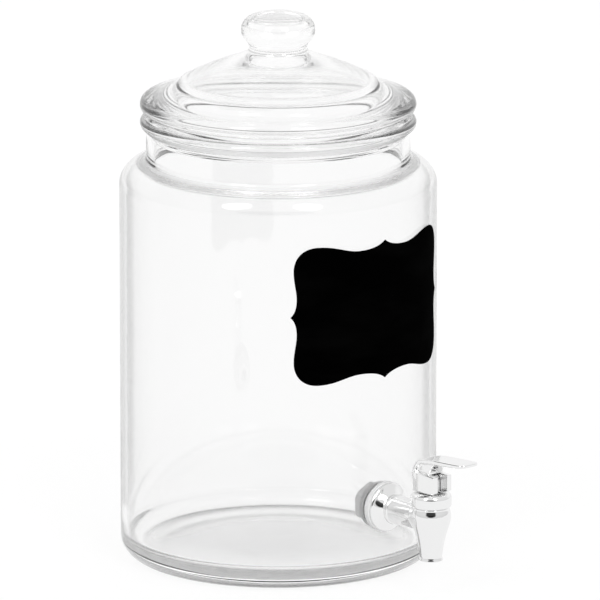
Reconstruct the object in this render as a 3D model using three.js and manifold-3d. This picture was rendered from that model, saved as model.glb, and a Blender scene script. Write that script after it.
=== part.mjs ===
// A glass jar dispenser for liquid detergent: a jar with a rimmed neck, a domed lid with a glass knob and a
// gasket, a chalkboard label, and a chrome tap that is clamped through the wall near the base.
// Millimetres, +Z up. The origin is the bottom centre of the whole object's box. The tap points to -Y.

import * as THREE from 'three';
import { mergeVertices } from 'three/addons/utils/BufferGeometryUtils.js';
import Module from 'manifold-3d';

// ---- driving dimensions -------------------------------------------------------------------------------

const GAP = 0.3;                 // between neighbours that touch
const ROUND = 40;                // facets round the jar, a multiple of 4 so that the box is exact
const TURNED = 28;               // facets round the tap's turned pieces

const BODY_R = 103;              // jar, outside
const WALL = 4.5;
const RING_R = 93.5;             // outer edge of the standing ring
const PUSH_UP_Z = 6;             // underside at the middle, clear of the standing ring
const SHOULDER_Z = 247;          // where the straight wall ends
const SHOULDER_R = 15;           // rounding of the shoulder, outside
const NECK_R = 85.6;
const BEAD_R = 3.3;              // rounding of the rim's bead
const MOUTH_R = 80.8;
const RIM_TOP_Z = 291.3;
const FLOOR_Z = 11;              // inside, at the wall; the push-up rises to the middle
const FLOOR_ROUND_R = 14;        // rounding between the floor and the wall, inside

const SKIRT_R = 76.9;            // lid plug, outside
const SKIRT_BOTTOM_Z = 281;
const LID_SEAT_Z = 294.7;        // underside of the lid's flange
const LID_TOP_Z = 360.6;         // top of the knob

const GASKET_R = 79.6;           // sleeve of the gasket, outside
const GASKET_FLANGE_R = 86.3;
const GASKET_BOTTOM_Z = 278;
const GASKET_LIPS_Z = [281, 286];

const LABEL_HALF_W = 67;         // along the curved wall
const LABEL_HALF_H = 45.5;
const LABEL_Z = 182;
const LABEL_THICK = 0.4;

const TAP_Z = 51;                // height of the shank's axis
const VALVE_REACH = 147.6;       // from the jar's axis to the valve's axis
const TAP_REACH = 185.2;         // from the jar's axis to the tip of the lever
const SHANK_R = 8;
const WATERWAY_R = 4.5;
const OUTER_WASHER_R = 16.5;
const WASHER_BACK = 106;         // outer washer's flat face, from the jar's axis
const INNER_WASHER_R = 15;
const INNER_WASHER_BACK = 94;
const NUT_CORNERS = 27.7;        // across the corners of the hexagon
const NUT_THICK = 7;
const SHANK_END = 83;

const SEAT_Z = 45;               // valve seat
const CHAMBER_R = 9.5;
const OUTLET_R = 4.6;
const NOZZLE_Z = 24;
const SEAM_Z = 59.8;             // between tap body and bonnet
const BONNET_TOP_Z = 69.2;
const BONNET_R = 13.25;
const SEAL_R = [10.1, 11.4];
const SEAL_Z = [SEAM_Z + GAP, SEAM_Z + GAP + 1];

const STEM_R = 2.6;
const STEM_FOOT_Z = 47.4;
const STEM_HEAD_W = 7.4;         // across the slot of the lever
const STEM_HEAD_R = 4.4;
const COLLAR_R = 6;              // the spring pushes on it
const COLLAR_Z = 51;
const COLLAR_THICK = 1.3;
const SPRING_R = 4.4;            // middle of the wire
const SPRING_WIRE_R = 0.45;
const SPRING_TURNS = 5;
const SPRING_TOP_Z = 61.4;
const PIN_R = 1.25;
const PIN_Z = 76.7;
const HEAD_W = 16;               // lever head, across its two cheeks
const SOCKET_HALF_W = 6.7;       // the pin's sockets are blind, so nothing of it shows from outside
const SLOT_W = 8;
const PADDLE_W = 17;

const CAM_GAIN = 6;              // stem lift in mm for each radian that the lever turns
const LEVER_TRAVEL = Math.PI / 6;

const JAR_AXIS_Y = (TAP_REACH - BODY_R) / 2;   // centres the box on the origin

// ---- materials ----------------------------------------------------------------------------------------

const glass = () => new THREE.MeshStandardMaterial({
  color: 0xe9eeee, roughness: 0.03, metalness: 0, transparent: true, opacity: 0.35,
});
const chrome = () => new THREE.MeshStandardMaterial({ color: 0xd6d8da, roughness: 0.08, metalness: 1 });
const steel = () => new THREE.MeshStandardMaterial({ color: 0xa9abad, roughness: 0.3, metalness: 1 });
const chalkboard = () => new THREE.MeshStandardMaterial({ color: 0x0b0b0c, roughness: 0.95, metalness: 0 });
const silicone = () => new THREE.MeshStandardMaterial({ color: 0xe6e8e6, roughness: 0.45, metalness: 0 });
const greyPlastic = () => new THREE.MeshStandardMaterial({ color: 0xbfc2c4, roughness: 0.35, metalness: 0 });

// ---- geometry helpers ---------------------------------------------------------------------------------

const wasm = await Module();
wasm.setup();

function toSolid(geometry) {
  const bare = geometry.index ? geometry.toNonIndexed() : geometry.clone();
  bare.deleteAttribute('normal');
  bare.deleteAttribute('uv');
  const merged = mergeVertices(bare, 1e-4);
  return new wasm.Manifold(new wasm.Mesh({
    numProp: 3,
    vertProperties: new Float32Array(merged.attributes.position.array),
    triVerts: new Uint32Array(merged.index.array),
  }));
}

function toGeometry(solid) {
  const { vertProperties, triVerts } = solid.getMesh();
  const geometry = new THREE.BufferGeometry();
  geometry.setAttribute('position', new THREE.BufferAttribute(vertProperties, 3));
  geometry.setIndex(new THREE.BufferAttribute(triVerts, 1));
  return geometry;
}

const join = (...parts) => toGeometry(parts.map(toSolid).reduce((a, b) => a.add(b)));
const cut = (body, ...tools) => toGeometry(tools.map(toSolid).reduce((a, b) => a.subtract(b), toSolid(body)));
const common = (a, b) => toGeometry(toSolid(a).intersect(toSolid(b)));

// Points of a circular arc in the (radius, height) half-plane, angles in degrees.
function arc(centreR, centreZ, radiusR, from, to, steps, radiusZ = radiusR) {
  return Array.from({ length: steps + 1 }, (_, i) => {
    const angle = THREE.MathUtils.degToRad(from + (to - from) * i / steps);
    return [centreR + radiusR * Math.cos(angle), centreZ + radiusZ * Math.sin(angle)];
  });
}

// A solid turned about Z from (radius, height) points that run anticlockwise: out below, up outside, in above.
function turned(points, facets = TURNED) {
  return new THREE.LatheGeometry(points.map(([r, z]) => new THREE.Vector2(r, z)), facets)
    .rotateX(Math.PI / 2);
}

// The same about Y, heights becoming distances along +Y.
const turnedAlongY = (points, facets = TURNED) => turned(points, facets).rotateX(-Math.PI / 2);

const rod = (radius, from, to) => [[0, from], [radius, from], [radius, to], [0, to]];

function ring(inner, outer, from, to) {
  return [[inner, from], [outer, from], [outer, to], [inner, to], [inner, from]];
}

// A side view in (forward, up), drawn as a Shape, made `width` wide across X; forward becomes -Y.
function plate(shape, width, curveSteps = 6) {
  return new THREE.ExtrudeGeometry(shape, { depth: width, bevelEnabled: false, curveSegments: curveSteps })
    .translate(0, 0, -width / 2)
    .rotateX(Math.PI / 2)
    .rotateZ(-Math.PI / 2);
}

function piece(name, geometry, material, x = 0, y = 0, z = 0) {
  const mesh = new THREE.Mesh(geometry, material);
  mesh.name = name;
  mesh.position.set(x, y, z);
  return mesh;
}

// ---- glass vessel -------------------------------------------------------------------------------------

function jar() {
  const inner = BODY_R - WALL;
  const heelR = BODY_R - RING_R;
  const holeR = SHANK_R + 0.5;
  const shell = turned([
    [0, PUSH_UP_Z], [66, PUSH_UP_Z - 2], [76, 0], [RING_R, 0],
    ...arc(RING_R, heelR, heelR, -60, 0, 2),
    ...arc(BODY_R - SHOULDER_R, SHOULDER_Z, SHOULDER_R, 0, 75, 3),
    [NECK_R + 1, 262.5], [NECK_R, 264], [NECK_R, 283],
    ...arc(NECK_R + 0.6, RIM_TOP_Z - BEAD_R, BEAD_R, -60, 90, 4),
    [MOUTH_R + 1.6, RIM_TOP_Z], [MOUTH_R, RIM_TOP_Z - 1.6], [MOUTH_R, 262],
    [84, 258],
    ...arc(BODY_R - SHOULDER_R, SHOULDER_Z, SHOULDER_R - WALL, 90, 0, 2),
    ...arc(inner - FLOOR_ROUND_R, FLOOR_Z + FLOOR_ROUND_R, FLOOR_ROUND_R, 0, -90, 3),
    [0, FLOOR_Z + 3],
  ], ROUND);
  const tapHole = turnedAlongY(rod(holeR, -BODY_R - 5, -BODY_R + 15), TURNED).translate(0, 0, TAP_Z);
  return piece('jar', cut(shell, tapHole), glass());
}

function lid() {
  const profile = [
    [0, 328], [40, 320.5], [58, 311], [SKIRT_R - 4, 298], [SKIRT_R - 4, SKIRT_BOTTOM_Z],
    [SKIRT_R, SKIRT_BOTTOM_Z], [SKIRT_R, LID_SEAT_Z],
    ...arc(84.3, 299.9, 5.2, -90, 70, 5),
    [66, 312.6], [62.5, 316.6], [50, 322.3], [40, 326.6], [26, 332], [20.6, 334.2], [18.4, 336.6],
    ...arc(16.4, 348.6, 7.6, -60, 60, 5, 9),
    [12, LID_TOP_Z - 1.7], [6, LID_TOP_Z - 0.2], [0, LID_TOP_Z],
  ];
  return piece('lid', turned(profile, ROUND), glass());
}

function lidGasket() {
  const inner = SKIRT_R + GAP;
  const lip = MOUTH_R - GAP;
  const flangeZ = RIM_TOP_Z + GAP;
  const topZ = LID_SEAT_Z - GAP;
  const profile = [
    [inner, GASKET_BOTTOM_Z], [GASKET_R, GASKET_BOTTOM_Z],
    ...GASKET_LIPS_Z.flatMap((z) => [[GASKET_R, z - 1], [lip, z], [GASKET_R, z + 1]]),
    [GASKET_R, flangeZ], [GASKET_FLANGE_R, flangeZ], [GASKET_FLANGE_R, topZ], [inner, topZ],
    [inner, GASKET_BOTTOM_Z],
  ];
  return piece('lid_gasket', turned(profile, ROUND), silicone());
}

// One quarter of the label's bracketed outline as cubic curves: [control, control, end], in (along, up).
const LABEL_QUARTER = [
  [[4.5, 41.8], [12, 40.6], [20, 40.7]],
  [[30, 40.9], [36, 45.4], [49, 45.4]],
  [[59, 45.4], [64.9, 39], [64.9, 30]],
  [[64.9, 22], [62.6, 17], [63, 10]],
  [[63.2, 5.5], [64.6, 2], [LABEL_HALF_W, 0]],
];

function labelOutline() {
  const quarter = [];
  let start = [0, LABEL_HALF_H];
  for (const [a, b, end] of LABEL_QUARTER) {
    const [p0, p1, p2, p3] = [start, a, b, end].map(([x, y]) => new THREE.Vector2(x, y));
    quarter.push(...new THREE.CubicBezierCurve(p0, p1, p2, p3).getPoints(4).slice(0, -1));
    start = end;
  }
  const corner = new THREE.Vector2(LABEL_HALF_W, 0);
  const mirrored = (points, sx, sy) => points.map((p) => new THREE.Vector2(p.x * sx, p.y * sy));
  const right = [...quarter, corner, ...mirrored(quarter.slice(1), 1, -1).reverse()];
  const left = mirrored(right, -1, -1);
  return [...right, ...left];
}

function chalkboardLabel() {
  const inner = BODY_R + GAP;
  const flat = labelOutline().map((p) => new THREE.Vector2(BODY_R * Math.sin(p.x / BODY_R), p.y));
  const prism = new THREE.ExtrudeGeometry(new THREE.Shape(flat), { depth: 60, bevelEnabled: false })
    .rotateX(Math.PI / 2)
    .translate(0, -60, LABEL_Z);
  const height = LABEL_HALF_H + 5;
  const sleeve = turned(ring(inner, inner + LABEL_THICK, LABEL_Z - height, LABEL_Z + height), ROUND);
  return piece('chalkboard_label', common(sleeve, prism), chalkboard());
}

// ---- tap: pieces turned about the shank's axis, with their distance from the jar's axis along -Y -----

const alongShank = (points, facets) => turnedAlongY(points.map(([r, u]) => [r, -u]).reverse(), facets)
  .translate(0, 0, TAP_Z);

function outerWasher() {
  const disc = alongShank(ring(SHANK_R + GAP, OUTER_WASHER_R, BODY_R - 5, WASHER_BACK));
  const wall = turned(rod(BODY_R + GAP, TAP_Z - 30, TAP_Z + 30), ROUND);
  return piece('outer_washer', cut(disc, wall), silicone());
}

function innerWasher() {
  const disc = alongShank(ring(SHANK_R + GAP, INNER_WASHER_R, INNER_WASHER_BACK, BODY_R - 1));
  const bore = turned(rod(BODY_R - WALL - GAP, TAP_Z - 30, TAP_Z + 30), ROUND);
  return piece('inner_washer', common(disc, bore), silicone());
}

function lockNut() {
  const front = INNER_WASHER_BACK - GAP;
  const hex = alongShank(ring(SHANK_R + GAP, NUT_CORNERS / 2 + 6, front - NUT_THICK, front), TURNED);
  const flats = new THREE.CylinderGeometry(NUT_CORNERS / 2, NUT_CORNERS / 2, NUT_THICK * 3, 6)
    .translate(0, -front, TAP_Z);
  return piece('lock_nut', common(hex, flats), greyPlastic());
}

function tapBody() {
  const flange = WASHER_BACK + GAP;
  const barrel = alongShank([
    [0, SHANK_END], [SHANK_R, SHANK_END], [SHANK_R, flange], [15.5, flange], [15.5, flange + 1.4],
    [14.6, flange + 2.2], [11, flange + 2.8], [9.5, flange + 4.4], [9.4, 113], [10, 113.6], [10, 115.4],
    [9.3, 116], [8.7, VALVE_REACH - 12], [8.7, VALVE_REACH - 4], [0, VALVE_REACH - 4],
  ]);
  const housing = turned([
    [0, NOZZLE_Z], [7.5, NOZZLE_Z], [8.3, 29.5], [8.8, 35.8], [10.3, 42.6], [12.1, 48], [12.9, 53],
    [13, SEAM_Z], [0, SEAM_Z],
  ]).translate(0, -VALVE_REACH, 0);
  const chamber = turned([
    [0, NOZZLE_Z - 1], [OUTLET_R + 0.4, NOZZLE_Z - 1], [OUTLET_R, 30], [OUTLET_R, SEAT_Z - 1],
    [OUTLET_R + 1, SEAT_Z], [CHAMBER_R, SEAT_Z], [CHAMBER_R, SEAM_Z + 1], [0, SEAM_Z + 1],
  ]).translate(0, -VALVE_REACH, 0);
  const waterway = alongShank(rod(WATERWAY_R, SHANK_END - 1, VALVE_REACH), 20);
  return piece('tap_body', cut(join(barrel, housing), chamber, waterway), chrome());
}

// ---- tap: pieces about the valve's axis, which is their own origin in X and Y -------------------------

const onValveAxis = (name, geometry, material) => piece(name, geometry, material, 0, -VALVE_REACH, 0);

function bonnetSeal() {
  return onValveAxis('bonnet_seal', turned(ring(...SEAL_R, ...SEAL_Z), 24), silicone());
}

function bonnet() {
  const skirtZ = 57.5;
  const pocketZ = 61.7;
  const profile = [
    [STEM_R + GAP, pocketZ], [6.6, pocketZ], [6.6, skirtZ], [CHAMBER_R - GAP, skirtZ],
    [CHAMBER_R - GAP, SEAM_Z + GAP], [SEAL_R[0] - GAP, SEAM_Z + GAP], [SEAL_R[0] - GAP, SEAL_Z[1] + GAP],
    [SEAL_R[1] + GAP, SEAL_Z[1] + GAP], [SEAL_R[1] + GAP, SEAM_Z + GAP],
    [BONNET_R - 0.3, SEAM_Z + GAP], [BONNET_R, SEAM_Z + 1],
    [BONNET_R, 66.2], [BONNET_R - 1, 68.4], [BONNET_R - 3, BONNET_TOP_Z], [STEM_R + GAP, BONNET_TOP_Z],
    [STEM_R + GAP, pocketZ],
  ];
  return onValveAxis('tap_bonnet', turned(profile), chrome());
}

function valveStem() {
  const grooveZ = [64.6, 66.2];
  const grooveR = 1.8;
  const shaft = turned([
    [0, STEM_FOOT_Z], [STEM_R, STEM_FOOT_Z], [STEM_R, COLLAR_Z], [COLLAR_R, COLLAR_Z],
    [COLLAR_R, COLLAR_Z + COLLAR_THICK],
    [STEM_R, COLLAR_Z + COLLAR_THICK], [STEM_R, grooveZ[0]], [grooveR, grooveZ[0]], [grooveR, grooveZ[1]],
    [STEM_R, grooveZ[1]], [STEM_R, 72], [0, 72],
  ], 20);
  const headBottom = BONNET_TOP_Z + 0.6 - PIN_Z;
  const side = new THREE.Shape();
  side.moveTo(-STEM_HEAD_R, headBottom);
  side.lineTo(STEM_HEAD_R, headBottom);
  side.lineTo(STEM_HEAD_R, 0);
  side.absarc(0, 0, STEM_HEAD_R, 0, Math.PI, false);
  side.closePath();
  const head = plate(side, STEM_HEAD_W).translate(0, 0, PIN_Z);
  return onValveAxis('valve_stem', cut(join(shaft, head), pinHole()), steel());
}

function crossRod(radius, half) {
  return turned(rod(radius, -half, half), 16).rotateY(Math.PI / 2).translate(0, 0, PIN_Z);
}

const pinHole = () => crossRod(PIN_R + GAP, SOCKET_HALF_W);

function pivotPin() {
  return onValveAxis('pivot_pin', crossRod(PIN_R, SOCKET_HALF_W - GAP), steel());
}

function stemORing() {
  const profile = arc(2.35, 65.4, 0.3, 0, 360, 8, 0.55);
  return onValveAxis('stem_o_ring', turned(profile, 20), silicone());
}

function seatCup() {
  const profile = [
    [0, SEAT_Z + GAP], [6.2, SEAT_Z + GAP], [6.8, SEAT_Z + 2], [7.6, COLLAR_Z - 1.5], [7.6, COLLAR_Z - GAP],
    [STEM_R + GAP, COLLAR_Z - GAP], [STEM_R + GAP, STEM_FOOT_Z - GAP], [0, STEM_FOOT_Z - GAP],
  ];
  return onValveAxis('seat_cup', turned(profile, 24), silicone());
}

class Helix extends THREE.Curve {
  constructor(radius, fromZ, toZ, turns) {
    super();
    Object.assign(this, { radius, fromZ, toZ, turns });
  }
  getPoint(t, target = new THREE.Vector3()) {
    const angle = 2 * Math.PI * this.turns * t;
    const z = THREE.MathUtils.lerp(this.fromZ, this.toZ, t);
    return target.set(this.radius * Math.cos(angle), this.radius * Math.sin(angle), z);
  }
}

function returnSpring() {
  const bottom = COLLAR_Z + COLLAR_THICK + GAP;
  const path = new Helix(SPRING_R, bottom + SPRING_WIRE_R, SPRING_TOP_Z - SPRING_WIRE_R, SPRING_TURNS);
  const wire = new THREE.Shape().absarc(0, 0, SPRING_WIRE_R, 0, 2 * Math.PI, false);
  const geometry = new THREE.ExtrudeGeometry(wire, {
    steps: SPRING_TURNS * 14, curveSegments: 6, bevelEnabled: false, extrudePath: path,
  });
  return onValveAxis('return_spring', geometry, steel());
}

// The lever's side view, in (forward, up) from the pin. Its foot is a cam: an involute whose height under
// the pin grows by CAM_GAIN for each radian, so the stem rises in proportion as the lever is pressed.
function lever() {
  const footZ = BONNET_TOP_Z + GAP - PIN_Z;
  const back = -9.6;
  const front = 10.9;
  const tip = TAP_REACH - VALVE_REACH;
  const cheekTop = 4.8;
  const head = new THREE.Shape();
  head.moveTo(back, footZ);
  const steps = 5;
  for (let i = 0; i <= steps; i += 1) {
    const angle = LEVER_TRAVEL * i / steps;
    const reach = CAM_GAIN * angle - footZ;
    const forward = reach * Math.sin(angle) + CAM_GAIN * Math.cos(angle);
    const up = CAM_GAIN * Math.sin(angle) - reach * Math.cos(angle);
    head.lineTo(forward, up);
  }
  head.lineTo(front, -5.6);
  head.lineTo(front, cheekTop);
  head.lineTo(back, cheekTop);
  head.closePath();

  const neck = new THREE.Shape();
  neck.moveTo(back + 0.5, 3);
  neck.lineTo(5, 3);
  neck.bezierCurveTo(5, 9, 8, 14, 16, 14.4);
  neck.lineTo(-1, 14.4);
  neck.bezierCurveTo(-6, 13.6, back + 0.5, 9.5, back + 0.5, 3);

  const strap = new THREE.Shape();
  strap.moveTo(back, 3);
  strap.lineTo(back + 2, 3);
  strap.bezierCurveTo(back + 2, 8.5, -5, 12, -0.5, 12.9);
  strap.bezierCurveTo(8, 14.4, 22, 14.2, tip + 1, 16.1);
  strap.lineTo(tip + 1, 17.9);
  strap.bezierCurveTo(22, 16.3, 6, 16.7, -2.6, 14.4);
  strap.bezierCurveTo(-7.5, 13, back, 8.5, back, 3);

  const plan = new THREE.Shape();
  const half = PADDLE_W / 2;
  plan.moveTo(back - 1, -half);
  plan.lineTo(tip - 6, -half);
  plan.quadraticCurveTo(tip, -half, tip, 0);
  plan.quadraticCurveTo(tip, half, tip - 6, half);
  plan.lineTo(back - 1, half);
  plan.closePath();
  const planPrism = new THREE.ExtrudeGeometry(plan, { depth: 30, bevelEnabled: false, curveSegments: 6 })
    .rotateZ(-Math.PI / 2);

  const paddle = common(plate(strap, PADDLE_W + 2), planPrism);
  const slotTop = 5.4;
  const slotBack = 6.4;
  const slot = new THREE.BoxGeometry(SLOT_W, 40, 20).translate(0, slotBack - 20, slotTop - 10);
  const solid = cut(join(plate(head, HEAD_W), plate(neck, HEAD_W - 5), paddle), slot);
  return onValveAxis('lever', cut(solid.translate(0, 0, PIN_Z), pinHole()), chrome());
}

// ---- assembly -----------------------------------------------------------------------------------------

const vessel = new THREE.Group();
vessel.add(jar(), lid(), lidGasket(), chalkboardLabel());

const tap = new THREE.Group();
tap.add(
  tapBody(), bonnet(), bonnetSeal(), valveStem(), seatCup(), stemORing(), returnSpring(), pivotPin(), lever(),
  outerWasher(), innerWasher(), lockNut(),
);

const dispenser = new THREE.Group();
const onJarAxis = new THREE.Group();
onJarAxis.position.y = JAR_AXIS_Y;
onJarAxis.add(vessel, tap);
dispenser.add(onJarAxis);

export default dispenser;
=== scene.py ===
"""Looks of a jar dispenser: clear glass jar and lid, chalkboard label, chrome lever tap.

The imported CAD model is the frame. Each CAD node is replaced by a finer mesh in the same place, riding on the
same body. Profiles are in millimetres: (radius, height) points, or shapes given by distance functions in
(x, out, z), where `out` is the distance from the jar's axis towards the tap.
"""

import math

import bmesh
import bpy
import numpy as np
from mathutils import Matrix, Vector


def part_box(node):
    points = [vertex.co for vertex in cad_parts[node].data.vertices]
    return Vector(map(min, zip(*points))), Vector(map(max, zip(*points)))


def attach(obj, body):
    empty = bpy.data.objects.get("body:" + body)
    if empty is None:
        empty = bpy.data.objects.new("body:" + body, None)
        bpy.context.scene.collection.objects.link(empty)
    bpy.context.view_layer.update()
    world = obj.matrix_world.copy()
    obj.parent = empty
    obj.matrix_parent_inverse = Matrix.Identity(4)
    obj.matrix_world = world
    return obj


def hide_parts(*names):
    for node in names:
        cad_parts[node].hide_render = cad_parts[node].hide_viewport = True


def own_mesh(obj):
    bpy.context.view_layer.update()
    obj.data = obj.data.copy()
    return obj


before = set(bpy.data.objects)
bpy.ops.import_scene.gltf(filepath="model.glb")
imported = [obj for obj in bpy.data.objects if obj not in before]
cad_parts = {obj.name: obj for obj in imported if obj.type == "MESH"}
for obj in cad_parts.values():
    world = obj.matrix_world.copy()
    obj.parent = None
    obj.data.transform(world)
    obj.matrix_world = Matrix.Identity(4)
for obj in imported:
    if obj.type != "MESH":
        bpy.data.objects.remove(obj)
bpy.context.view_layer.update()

MM = 0.001

# ---- places, from the frame -----------------------------------------------------------------------------


def middle(node):
    low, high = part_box(node)
    return (low + high) / 2


def span(node):
    """Lowest and highest corner of a node, in millimetres."""
    low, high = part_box(node)
    return low / MM, high / MM


JAR_Y = middle("jar").y / MM                       # the jar's axis
BODY_R = span("jar")[1].x                          # outside of the straight wall
RIM_TOP = span("jar")[1].z
LID_TOP = span("lid")[1].z
LABEL_Z = middle("chalkboard_label").z / MM
TAP_Z = middle("outer_washer").z / MM              # the shank's axis
VALVE_OUT = JAR_Y - middle("tap_bonnet").y / MM    # the valve's axis, from the jar's axis
PIN_Z = middle("pivot_pin").z / MM
NOZZLE_Z = span("tap_body")[0].z
SEAM_Z = span("bonnet_seal")[0].z - 0.3            # between the housing and the bonnet
BONNET_TOP = span("tap_bonnet")[1].z
BONNET_R = (span("tap_bonnet")[1].x - span("tap_bonnet")[0].x) / 2
LEVER_TIP = JAR_Y - span("lever")[0].y             # from the jar's axis
SHANK_END = JAR_Y - span("tap_body")[1].y
SPRING_LOW, SPRING_HIGH = span("return_spring")[0].z, span("return_spring")[1].z
SPRING_PAST = 0.25                                 # how far the finer coil goes past that at each end

WALL = 4.5
LID_SEAT = 294.6
HOLE_R = 8.5
SHANK_R = 8.0
CAM_GAIN = 6.0                                     # stem lift for each radian of the lever

# ---- curves in a plane ----------------------------------------------------------------------------------


def arc(centre_r, centre_z, radius, start, end, steps, radius_z=None):
    """Points of an arc, angles in degrees."""
    tall = radius if radius_z is None else radius_z
    turn = [math.radians(start + (end - start) * i / steps) for i in range(steps + 1)]
    return [(centre_r + radius * math.cos(a), centre_z + tall * math.sin(a)) for a in turn]


def bend(p0, p1, p2, p3, steps):
    """Points of a cubic curve, both ends included."""
    points = []
    for i in range(steps + 1):
        t = i / steps
        weights = ((1 - t) ** 3, 3 * t * (1 - t) ** 2, 3 * t * t * (1 - t), t ** 3)
        points.append(tuple(sum(w * p[k] for w, p in zip(weights, (p0, p1, p2, p3))) for k in (0, 1)))
    return points


def straight(p0, p1, steps):
    across, up = p1[0] - p0[0], p1[1] - p0[1]
    return [(p0[0] + across * i / steps, p0[1] + up * i / steps) for i in range(steps + 1)]


def through(points, steps=8):
    """A smooth curve through the points."""
    p = [points[0], *points, points[-1]]
    out = []
    for a, b, c, d in zip(p, p[1:], p[2:], p[3:]):
        for i in range(steps):
            t = i / steps
            out.append(tuple(
                0.5 * (2 * b[k] + (c[k] - a[k]) * t + (2 * a[k] - 5 * b[k] + 4 * c[k] - d[k]) * t * t
                       + (3 * b[k] - a[k] - 3 * c[k] + d[k]) * t ** 3) for k in (0, 1)))
    return out + [points[-1]]


def chain(*stretches):
    """Joins stretches of points into one list with no point twice in a row."""
    out = []
    for stretch in stretches:
        for p in stretch:
            if not out or math.dist(out[-1], p) > 1e-4:
                out.append(tuple(p))
    return out


# ---- meshes ---------------------------------------------------------------------------------------------


def make_object(name, verts, faces, sharp_deg=35, normals=None):
    """A smooth-shaded mesh object from points in metres, with its faces turned outwards."""
    mesh = bpy.data.meshes.new(name)
    mesh.from_pydata([tuple(v) for v in verts], [], [tuple(f) for f in faces])
    bm = bmesh.new()
    bm.from_mesh(mesh)
    bmesh.ops.recalc_face_normals(bm, faces=bm.faces)
    bm.to_mesh(mesh)
    bm.free()
    mesh.polygons.foreach_set("use_smooth", [True] * len(mesh.polygons))
    if normals is not None:
        mesh.normals_split_custom_set_from_vertices([tuple(n) for n in normals])
    elif sharp_deg:
        mesh.set_sharp_from_angle(angle=math.radians(sharp_deg))
    obj = bpy.data.objects.new(name, mesh)
    bpy.context.scene.collection.objects.link(obj)
    return obj


def on_jar_axis(x, y, height):
    return (x * MM, (JAR_Y + y) * MM, height * MM)


def on_valve_axis(x, y, height):
    return (x * MM, (JAR_Y - VALVE_OUT + y) * MM, height * MM)


def along_pin(x, y, height):
    return (height * MM, (JAR_Y - VALVE_OUT + x) * MM, (PIN_Z + y) * MM)


def turned_parts(profile, facets, place):
    """Points and faces of a profile turned about its axis, closed on itself or ended on the axis."""
    closed = math.dist(profile[0], profile[-1]) < 1e-6
    rows = profile[:-1] if closed else profile
    verts, first = [], []
    for r, z in rows:
        first.append(len(verts))
        ring = [0] if r < 1e-6 else range(facets)
        for i in ring:
            a = -math.pi / 2 + 2 * math.pi * i / facets
            verts.append(place(r * math.cos(a), r * math.sin(a), z))
    faces = []
    pairs = list(zip(range(len(rows)), range(1, len(rows)))) + ([(len(rows) - 1, 0)] if closed else [])
    for j, k in pairs:
        a_point, b_point = rows[j][0] < 1e-6, rows[k][0] < 1e-6
        for i in range(facets):
            n = (i + 1) % facets
            if a_point and b_point:
                continue
            if a_point:
                faces.append((first[j], first[k] + n, first[k] + i))
            elif b_point:
                faces.append((first[j] + i, first[j] + n, first[k]))
            else:
                faces.append((first[j] + i, first[j] + n, first[k] + n, first[k] + i))
    return verts, faces


def turned(name, profile, facets=96, place=on_jar_axis, sharp_deg=35):
    return make_object(name, *turned_parts(profile, facets, place), sharp_deg=sharp_deg)


# ---- distance functions and the surface they describe ---------------------------------------------------


def polygon_distance(px, py, corners):
    """Signed distance in a plane from points to a polygon, negative inside."""
    nearest = np.full(px.shape, 1e9)
    inside = np.zeros(px.shape, bool)
    for (ax, ay), (bx, by) in zip(corners, corners[1:] + corners[:1]):
        ex, ey = bx - ax, by - ay
        wx, wy = px - ax, py - ay
        t = np.clip((wx * ex + wy * ey) / max(ex * ex + ey * ey, 1e-12), 0, 1)
        nearest = np.minimum(nearest, (wx - ex * t) ** 2 + (wy - ey * t) ** 2)
        crosses = (ay > py) != (by > py)
        with np.errstate(divide="ignore", invalid="ignore"):
            inside ^= crosses & (px < ax + ex * (py - ay) / (by - ay if by != ay else 1e-12))
    return np.sqrt(nearest) * np.where(inside, -1, 1)


def slab(flat, height, half, edge=0.0):
    """Distance to a flat shape given half-thickness along a third direction, with rounded edges."""
    a, b = flat + edge, np.abs(height) - (half - edge)
    return np.minimum(np.maximum(a, b), 0) + np.hypot(np.maximum(a, 0), np.maximum(b, 0)) - edge


def blend_join(a, b, width):
    h = np.clip(0.5 + 0.5 * (b - a) / width, 0, 1)
    return b * (1 - h) + a * h - width * h * (1 - h)


def blend_cut(a, b, width):
    return -blend_join(-a, b, width)


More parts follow.
